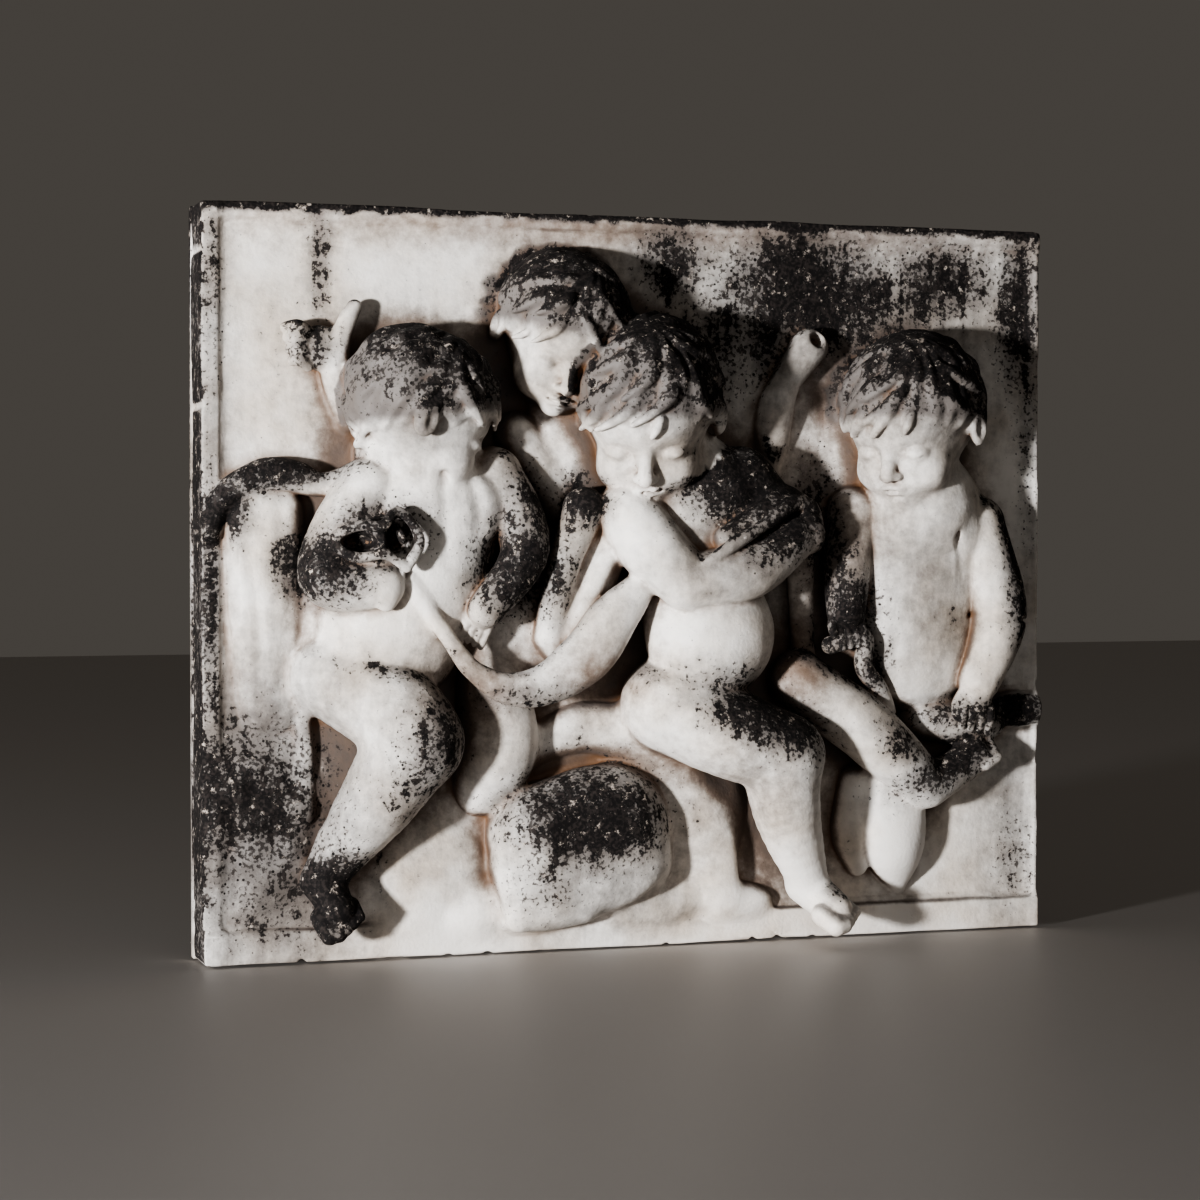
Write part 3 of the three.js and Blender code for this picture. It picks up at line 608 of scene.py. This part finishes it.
grid = openvdb.FloatGrid()
grid.copyFromArray(np.clip(clay, -3 * CELL, 3 * CELL))
points, quads = grid.convertToQuads(0.0)
quads = quads[:, ::-1]
places = CLAY_LOW + points * CELL
corners = np.stack([places[:, 0], -places[:, 1], places[:, 2]], axis=1) * MM
mesh = bpy.data.meshes.new("relief")
mesh.vertices.add(len(corners))
mesh.vertices.foreach_set("co", corners.astype(np.float32).ravel())
mesh.loops.add(quads.size)
mesh.loops.foreach_set("vertex_index", quads.ravel().astype(np.int32))
mesh.polygons.add(len(quads))
mesh.polygons.foreach_set("loop_start", np.arange(0, quads.size, 4, dtype=np.int32))
mesh.update(calc_edges=True)
relief = bpy.data.objects.new("relief", mesh)
bpy.context.scene.collection.objects.link(relief)
thin = relief.modifiers.new("thin", "DECIMATE")
thin.ratio = min(1, TRIANGLES / (2 * len(quads)))
bpy.context.view_layer.objects.active = relief
relief.select_set(True)
bpy.ops.object.modifier_apply(modifier="thin")
bpy.ops.object.shade_smooth()
skin = bmesh.new()
skin.from_mesh(relief.data)
waiting = [min(skin.verts, key=lambda corner: corner.co.x)]
joined = set(waiting)
while waiting:
    corner = waiting.pop()
    for side in corner.link_edges:
        other = side.other_vert(corner)
        if other not in joined:
            joined.add(other)
            waiting.append(other)
bubbles = [corner for corner in skin.verts if corner not in joined]
bmesh.ops.delete(skin, geom=bubbles, context="VERTS")
skin.to_mesh(relief.data)
skin.free()
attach(relief, "root")
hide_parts("relief_panel")

# The weathering of years out of doors: black lichen in round spots on the upward and open faces,
# grey streaks that rain has drawn down from the top edge, and a brown stain kept by the hollows.
# Painted shade is laid in with them: grey and brown also darken the hollows and creases as shade,
# and one lichen patch on the field also paints the shadow of the middle head.
# Each patch is an oval: across, up, half width, half height, turn in degrees, and how thick it grows.
FIELD_LICHEN_AND_SHADOW = (
    (33, 290, 36, 34, 0, 0.75),
    (165, 265, 85, 50, 0, 0.95),
    (122, 235, 26, 64, 0, 0.8),
    (300, 280, 60, 38, 0, 0.75),
    (378, 255, 26, 80, 0, 0.75),
    (390, 130, 14, 120, 0, 0.5),
    # This patch is also a painted shadow: the shadow of the middle head on the field, with lichen in it.
    (84, 225, 36, 64, 0, 0.65),
    (-294, 285, 11, 64, 0, 0.5),
    (-388, 240, 14, 95, 0, 0.5),
    (-391, -20, 10, 135, 0, 0.75),
    (-350, -190, 66, 70, 0, 0.8),
    (-350, -272, 66, 46, 0, 0.5),
    (378, -262, 28, 46, 0, 0.5),
    (-312, -160, 26, 50, 0, 0.55),
    (170, 66, 30, 64, 0, 0.6),
)
FIGURE_LICHEN = (
    (74, 94, 64, 40, -15, 1.0),
    (116, 50, 46, 26, 25, 0.85),
    (-300, 14, 34, 32, 0, 0.8),
    (-130, 14, 44, 46, 40, 0.85),
    (-120, 70, 24, 40, 0, 0.65),
    (-67, 76, 18, 26, 0, 0.85),
    (-211, -140, 36, 60, -20, 0.65),
    (-295, -265, 38, 42, 0, 0.95),
    (95, -118, 68, 30, -25, 0.8),
    (-62, -204, 68, 44, 0, 0.95),
    (-104, -262, 42, 42, 0, 0.5),
    (290, -168, 58, 20, 25, 0.9),
    (238, -150, 42, 20, -35, 0.55),
    (190, -30, 30, 34, 0, 0.9),
    (216, -78, 20, 32, 0, 0.7),
    (354, 20, 17, 84, 0, 0.8),
    (300, -125, 62, 18, 0, 0.6),
    (372, -122, 34, 22, 0, 0.9),
    (-335, 98, 64, 17, 8, 0.95),
    (-380, 70, 22, 36, 0, 0.9),
    (-302, 204, 28, 24, 0, 0.55),
    (-116, -98, 62, 16, 0, 0.5),
    (-252, 46, 42, 26, 0, 0.85),
    (164, 50, 24, 64, 0, 0.7),
    (-350, -200, 66, 84, 0, 0.7),
)
GREY_VEIL = (
    (200, 230, 220, 110, 0, 0.55),
    (-217, 166, 70, 70, 0, 0.6),
    (-78, 250, 60, 50, 0, 0.5),
    (-8, 190, 66, 55, 0, 0.7),
    (255, 180, 68, 60, 0, 0.7),
    (-350, -200, 80, 130, 0, 0.8),
    (-388, 0, 22, 330, 0, 0.5),
    (80, 40, 80, 50, 20, 0.6),
    (-130, 40, 60, 90, 0, 0.6),
    (-60, -230, 90, 80, 0, 0.6),
    (-220, -150, 60, 80, 0, 0.5),
    (110, -150, 70, 70, 0, 0.4),
    (230, 0, 80, 110, 0, 0.45),
    (376, -200, 40, 130, 0, 0.5),
    (-160, -250, 40, 60, 0, 0.25),
    (-20, 0, 60, 60, 0, 0.3),
)
# Brown patches, partly stain and partly painted shade in the hollows under the swag and between the
# figures; the long one along the top is the cream band of the top rim.
BROWN_STAIN_AND_SHADE = (
    (-176, -100, 40, 40, 0, 0.7),
    (-56, -86, 40, 30, 0, 0.7),
    (136, -68, 30, 50, 0, 0.8),
    (166, 40, 40, 90, 0, 0.6),
    (0, 318, 400, 22, 0, 0.6),
    (60, -180, 60, 60, 0, 0.3),
)
FIGURE_FRONT = 62
FIELD_FRONT = 66
NEAR_HOLLOW = 8
WIDE_HOLLOW = 38


def read_corners(name):
    values = np.empty(len(relief.data.vertices) * 3, np.float32)
    relief.data.vertices.foreach_get(name, values)
    return values.reshape(-1, 3)


spots = read_corners("co") / MM
facing = read_corners("normal")
across, depth, up = spots[:, 0], -spots[:, 1], spots[:, 2]
outward = np.stack([facing[:, 0], -facing[:, 1], facing[:, 2]], axis=1)


def cover(patches):
    whole = np.zeros(len(spots), np.float32)
    for x, z, wide, tall, turn, thick in patches:
        c, n = math.cos(math.radians(turn)), math.sin(math.radians(turn))
        px, pz = across - x, up - z
        ring = np.sqrt(((px * c + pz * n) / wide) ** 2 + ((pz * c - px * n) / tall) ** 2)
        whole = np.maximum(whole, thick * np.exp(-0.6 * ring**2))
    return whole


def enclosed(reach, lift):
    values = (clay < 0).astype(np.float32)
    steps = max(1, round(reach / CELL))
    for axis in range(3):
        ends = [(steps + 1, steps) if k == axis else (0, 0) for k in range(3)]
        padded = np.pad(values, ends, mode="edge")
        total = np.cumsum(padded, axis=axis)
        size = values.shape[axis]
        ahead = np.take(total, np.arange(size) + 2 * steps + 1, axis=axis)
        values = (ahead - np.take(total, np.arange(size), axis=axis)) / (2 * steps + 1)
    place = np.stack([across, depth, up], axis=1) + outward * lift
    cell = np.clip(np.rint((place - CLAY_LOW) / CELL).astype(int), 0, CELLS - 1)
    return values[cell[:, 0], cell[:, 1], cell[:, 2]]


# Darkening of tight creases and of wide hollows: partly dirt that gathers there, partly painted shade.
crease_dirt_and_shade = np.clip((enclosed(NEAR_HOLLOW, 2) - 0.46) * 4, 0, 1)
shelter = np.clip((enclosed(WIDE_HOLLOW, 20) - 0.3) * 3.5, 0, 1)
front = outward[:, 1] > -0.5
upward = np.clip((outward[:, 2] - 0.2) / 0.55, 0, 1)
field_lichen_and_shadow = cover(FIELD_LICHEN_AND_SHADOW) * (depth < FIELD_FRONT)
on_figures = cover(FIGURE_LICHEN) * (depth > FIGURE_FRONT)
lichen_and_shadow = np.maximum(field_lichen_and_shadow, on_figures)
lichen_and_shadow = np.maximum(lichen_and_shadow, 0.52 * upward * (1 - shelter) * (depth > FIGURE_FRONT) * (up > -290))
veil_and_shade = np.maximum(cover(GREY_VEIL), 0.55 * upward)
# Sheltered hollows turn grey: partly grime, partly painted shade.
veil_and_shade = np.maximum(veil_and_shade, 0.5 * shelter)
for centre, half, face, crown in heads:
    way = np.stack([across, depth, up], axis=1) - centre
    v, w = [way @ axis / half for axis in (face, crown)]
    near = np.sqrt((way * way).sum(axis=1)) < 1.36 * half
    hair = near * np.clip((w - HAIR_LEAN * v - HAIRLINE) * 2.2 + 0.25, 0, 1)
    bare = near & (w - HAIR_LEAN * v < HAIRLINE - 0.05) & (v > -0.2) & (w > -1.3)
    lichen_and_shadow = np.where(bare, np.minimum(lichen_and_shadow, 0.14), lichen_and_shadow)
    # Hair darkens more where it faces up and to the right.
    up_and_right_facing = np.clip((0.75 * outward[:, 2] + 0.5 * outward[:, 0] + 0.55) / 1.0, 0, 1)
    lichen_and_shadow = np.maximum(lichen_and_shadow, hair * (0.33 + 0.52 * up_and_right_facing))
    veil_and_shade = np.maximum(veil_and_shade, np.maximum(hair, 0.3 * bare))
lichen_and_shadow = np.maximum(lichen_and_shadow, 1.0 * (up > TOP - 7))
lichen_and_shadow = np.maximum(lichen_and_shadow, np.where((across < -RIGHT + 3) & (depth > LIP_DEPTH + 2), 0.75, 0))
lichen_and_shadow = np.maximum(lichen_and_shadow, np.where((across > RIGHT - 4) & (depth < EDGE_DEPTH - 4), 0.45, 0))
lichen_and_shadow = np.maximum(lichen_and_shadow, 0.06 + 0.05 * (up > -120)) * front
veil_and_shade = np.maximum(veil_and_shade, 1.05 * lichen_and_shadow)
# Brown in the listed patches and in sheltered hollows: partly stain, partly painted shade.
stain_and_shade = np.maximum(cover(BROWN_STAIN_AND_SHADE), shelter)
for name, values in (("lichen_and_shadow", lichen_and_shadow), ("veil_and_shade", veil_and_shade), ("stain_and_shade", stain_and_shade), ("crease_dirt_and_shade", crease_dirt_and_shade)):
    layer = relief.data.attributes.new(name, "FLOAT", "POINT")
    layer.data.foreach_set("value", np.ascontiguousarray(values, np.float32))

# Biscuit porcelain is fired without glaze, so it is matt and a little warm, and its pores hold dirt.
# It gives the eye a chalky white that goes to cream, grey and brown, under a dry black crust, and part of
# the grey, brown and black is painted shade and shadow.
# Spots of lichen are 2 to 5 mm across, their clusters 12 mm and the streaks of rain 8 mm wide.
SPOT = 0.0055
FLAKE = 0.009
CLUSTER = 0.011
GRIT = 0.0034
STREAK = 0.008
TONE = 0.07


def linear(code):
    parts = [int(code[i : i + 2], 16) / 255 for i in (1, 3, 5)]
    return tuple(c / 12.92 if c <= 0.04045 else ((c + 0.055) / 1.055) ** 2.4 for c in parts) + (1.0,)


PORCELAIN_WHITE = linear("#f3efea")
PORCELAIN_CREAM = linear("#ddcbb6")
RAIN_AND_SHADE_GREY = linear("#5f5956")
HOLLOW_DIRT_AND_SHADE_BROWN = linear("#6e4f35")
LICHEN_AND_SHADOW_BLACK = linear("#130f0f")
LICHEN_AND_SHADOW_GREY = linear("#3d3633")
LICHEN_PALE = linear("#c3b8ae")

biscuit = bpy.data.materials.new("biscuit_porcelain")
biscuit.use_nodes = True
tree = biscuit.node_tree
shader = tree.nodes["Principled BSDF"]


def node(kind, inputs, out=0, **settings):
    made = tree.nodes.new(kind)
    for name, value in settings.items():
        setattr(made, name, value)
    for key, value in inputs.items():
        if isinstance(value, bpy.types.NodeSocket):
            tree.links.new(value, made.inputs[key])
        else:
            made.inputs[key].default_value = value
    return made.outputs[out]


where = node("ShaderNodeTexCoord", {}, "Object")
grown_and_shadow, veiled_and_shaded, stained_and_shaded, creased_dirt_and_shade = [
    node("ShaderNodeAttribute", {}, "Fac", attribute_name=name)
    for name in ("lichen_and_shadow", "veil_and_shade", "stain_and_shade", "crease_dirt_and_shade")
]
cluster = node(
    "ShaderNodeTexNoise", {"Vector": where, "Scale": 1 / CLUSTER, "Detail": 7, "Roughness": 0.68}
)
grit = node("ShaderNodeTexNoise", {"Vector": where, "Scale": 1 / GRIT, "Detail": 3})
tone = node("ShaderNodeTexNoise", {"Vector": where, "Scale": 1 / TONE, "Detail": 3})
drawn_out = node("ShaderNodeMapping", {"Vector": where, "Scale": (1, 1, 0.1)})
streak = node("ShaderNodeTexNoise", {"Vector": drawn_out, "Scale": 1 / STREAK, "Detail": 3})

# The black crust: lichen, and in one field patch also the painted shadow of the middle head.
thick = node("ShaderNodeMath", {0: cluster, 1: 1.2, 2: grown_and_shadow}, operation="MULTIPLY_ADD")
thick = node("ShaderNodeMath", {0: grit, 1: 0.9, 2: thick}, operation="MULTIPLY_ADD")
thick = node("ShaderNodeMath", {0: streak, 1: 0.8, 2: thick}, operation="MULTIPLY_ADD")
thick = node("ShaderNodeMath", {0: tone, 1: 1.1, 2: thick}, operation="MULTIPLY_ADD")
crust_and_shadow = node(
    "ShaderNodeMapRange",
    {"Value": thick, "From Min": 2.52, "From Max": 2.7},
    interpolation_type="SMOOTHSTEP",
)
spot_distance = node("ShaderNodeTexVoronoi", {"Vector": where, "Scale": 1 / SPOT})
spot_draw = spot_distance.node.outputs["Color"]
spot_size = node("ShaderNodeMath", {0: grown_and_shadow, 1: 0.42, 2: 0.06}, operation="MULTIPLY_ADD")
spot_edge = node("ShaderNodeMath", {0: spot_size, 1: spot_distance}, operation="SUBTRACT")
spot = node("ShaderNodeMapRange", {"Value": spot_edge, "From Min": 0.0, "From Max": 0.08})
spot_chance = node("ShaderNodeMath", {0: grown_and_shadow, 1: 0.6, 2: 0.01}, operation="MULTIPLY_ADD")
spot_here = node("ShaderNodeMath", {0: spot_draw, 1: spot_chance}, operation="LESS_THAN")
spot = node("ShaderNodeMath", {0: spot, 1: spot_here}, operation="MULTIPLY")
black = node("ShaderNodeMath", {0: crust_and_shadow, 1: spot}, operation="MAXIMUM")
pepper_sum = node("ShaderNodeMath", {0: grown_and_shadow, 1: 0.46, 2: grit}, operation="MULTIPLY_ADD")
pepper = node(
    "ShaderNodeMapRange", {"Value": pepper_sum, "From Min": 0.76, "From Max": 0.86, "To Max": 0.85}
)
black = node("ShaderNodeMath", {0: black, 1: pepper}, operation="MAXIMUM")
flake = node(
    "ShaderNodeTexNoise", {"Vector": where, "Scale": 1 / FLAKE, "Detail": 6, "Roughness": 0.75}
)
fleck = node("ShaderNodeMapRange", {"Value": flake, "From Min": 0.59, "From Max": 0.66})

# Grey veil: rain streaks and grime, and painted shade in the sheltered hollows.
veil_and_shade_sum = node("ShaderNodeMath", {0: cluster, 1: 0.55, 2: veiled_and_shaded}, operation="MULTIPLY_ADD")
veil_and_shade_sum = node("ShaderNodeMath", {0: streak, 1: 0.2, 2: veil_and_shade_sum}, operation="MULTIPLY_ADD")
veil_and_shade_sum = node("ShaderNodeMath", {0: tone, 1: 0.7, 2: veil_and_shade_sum}, operation="MULTIPLY_ADD")
veil_and_shade_share = node(
    "ShaderNodeMapRange",
    {"Value": veil_and_shade_sum, "From Min": 0.72, "From Max": 1.5, "To Max": 0.92},
    interpolation_type="SMOOTHSTEP",
)
# Brown: stain in the hollows, and painted shade there too.
stain_and_shade_sum = node("ShaderNodeMath", {0: cluster, 1: 0.7, 2: stained_and_shaded}, operation="MULTIPLY_ADD")
stain_and_shade_share = node(
    "ShaderNodeMapRange",
    {"Value": stain_and_shade_sum, "From Min": 0.4, "From Max": 1.2, "To Max": 0.88},
    interpolation_type="SMOOTHSTEP",
)
# Brown in the creases: dirt, and painted shade.
crease_dirt_and_shade_share = node("ShaderNodeMath", {0: creased_dirt_and_shade, 1: 0.85}, operation="MULTIPLY")
tone_share = node("ShaderNodeMapRange", {"Value": tone, "From Min": 0.4, "From Max": 0.75, "To Max": 0.75})

colour = node(
    "ShaderNodeMix", {0: tone_share, 6: PORCELAIN_WHITE, 7: PORCELAIN_CREAM}, 2, data_type="RGBA"
)
colour = node("ShaderNodeMix", {0: stain_and_shade_share, 6: colour, 7: HOLLOW_DIRT_AND_SHADE_BROWN}, 2, data_type="RGBA")
colour = node("ShaderNodeMix", {0: veil_and_shade_share, 6: colour, 7: RAIN_AND_SHADE_GREY}, 2, data_type="RGBA")
colour = node("ShaderNodeMix", {0: crease_dirt_and_shade_share, 6: colour, 7: HOLLOW_DIRT_AND_SHADE_BROWN}, 2, data_type="RGBA")
crust_and_shadow_tone = node("ShaderNodeMapRange", {"Value": grit, "From Min": 0.46, "From Max": 0.72})
crust_and_shadow_colour = node("ShaderNodeMix", {0: crust_and_shadow_tone, 6: LICHEN_AND_SHADOW_BLACK, 7: LICHEN_AND_SHADOW_GREY}, 2, data_type="RGBA")
crust_and_shadow_colour = node("ShaderNodeMix", {0: fleck, 6: crust_and_shadow_colour, 7: LICHEN_PALE}, 2, data_type="RGBA")
colour = node("ShaderNodeMix", {0: black, 6: colour, 7: crust_and_shadow_colour}, 2, data_type="RGBA")
tree.links.new(colour, shader.inputs["Base Color"])
rough = node("ShaderNodeMapRange", {"Value": black, "To Min": 0.62, "To Max": 0.88})
tree.links.new(rough, shader.inputs["Roughness"])
bump = node("ShaderNodeBump", {"Strength": 0.5, "Distance": 0.0009, "Height": grit})
tree.links.new(bump, shader.inputs["Normal"])
shader.inputs["IOR"].default_value = 1.5
relief.data.materials.append(biscuit)

# The studio: a pale painted floor under a plain backdrop.
# The key light stands low on the left and throws long shadows to the right, and a weak soft one fills in.
FLOOR_UP = -0.3305
FLOOR_REACH = 6
FLOOR_GREY = linear("#bcb8b5")
BACKDROP_GREY = linear("#9b958e")
BACKDROP_STRENGTH = 0.27
floor_mesh = bpy.data.meshes.new("floor")
floor_corners = [
    (FLOOR_REACH * x, FLOOR_REACH * y, FLOOR_UP) for x, y in ((-1, -1), (1, -1), (1, 1), (-1, 1))
]
floor_mesh.from_pydata(floor_corners, [], [(0, 1, 2, 3)])
floor = bpy.data.objects.new("floor", floor_mesh)
bpy.context.scene.collection.objects.link(floor)
pale = bpy.data.materials.new("floor_paint")
pale.use_nodes = True
pale.node_tree.nodes["Principled BSDF"].inputs["Base Color"].default_value = FLOOR_GREY
floor.data.materials.append(pale)


def lamp(name, place, aim, size, watts):
    light = bpy.data.lights.new(name, "AREA")
    light.shape = "DISK"
    light.size = size
    light.energy = watts
    body = bpy.data.objects.new(name, light)
    body.location = place
    body.rotation_euler = (Vector(aim) - Vector(place)).to_track_quat("-Z", "Y").to_euler()
    bpy.context.scene.collection.objects.link(body)


lamp("key", (-3.1, -2.3, -0.12), (0, -0.1, -0.1), 0.3, 205)
lamp("fill", (-0.3, -3.0, 0.3), (0, -0.1, 0), 1.6, 4)
bpy.context.scene.view_settings.look = "AgX - High Contrast"
world = bpy.data.worlds.new("studio")
bpy.context.scene.world = world
world.use_nodes = True
backdrop = world.node_tree.nodes["Background"]
backdrop.inputs["Color"].default_value = BACKDROP_GREY
backdrop.inputs["Strength"].default_value = BACKDROP_STRENGTH
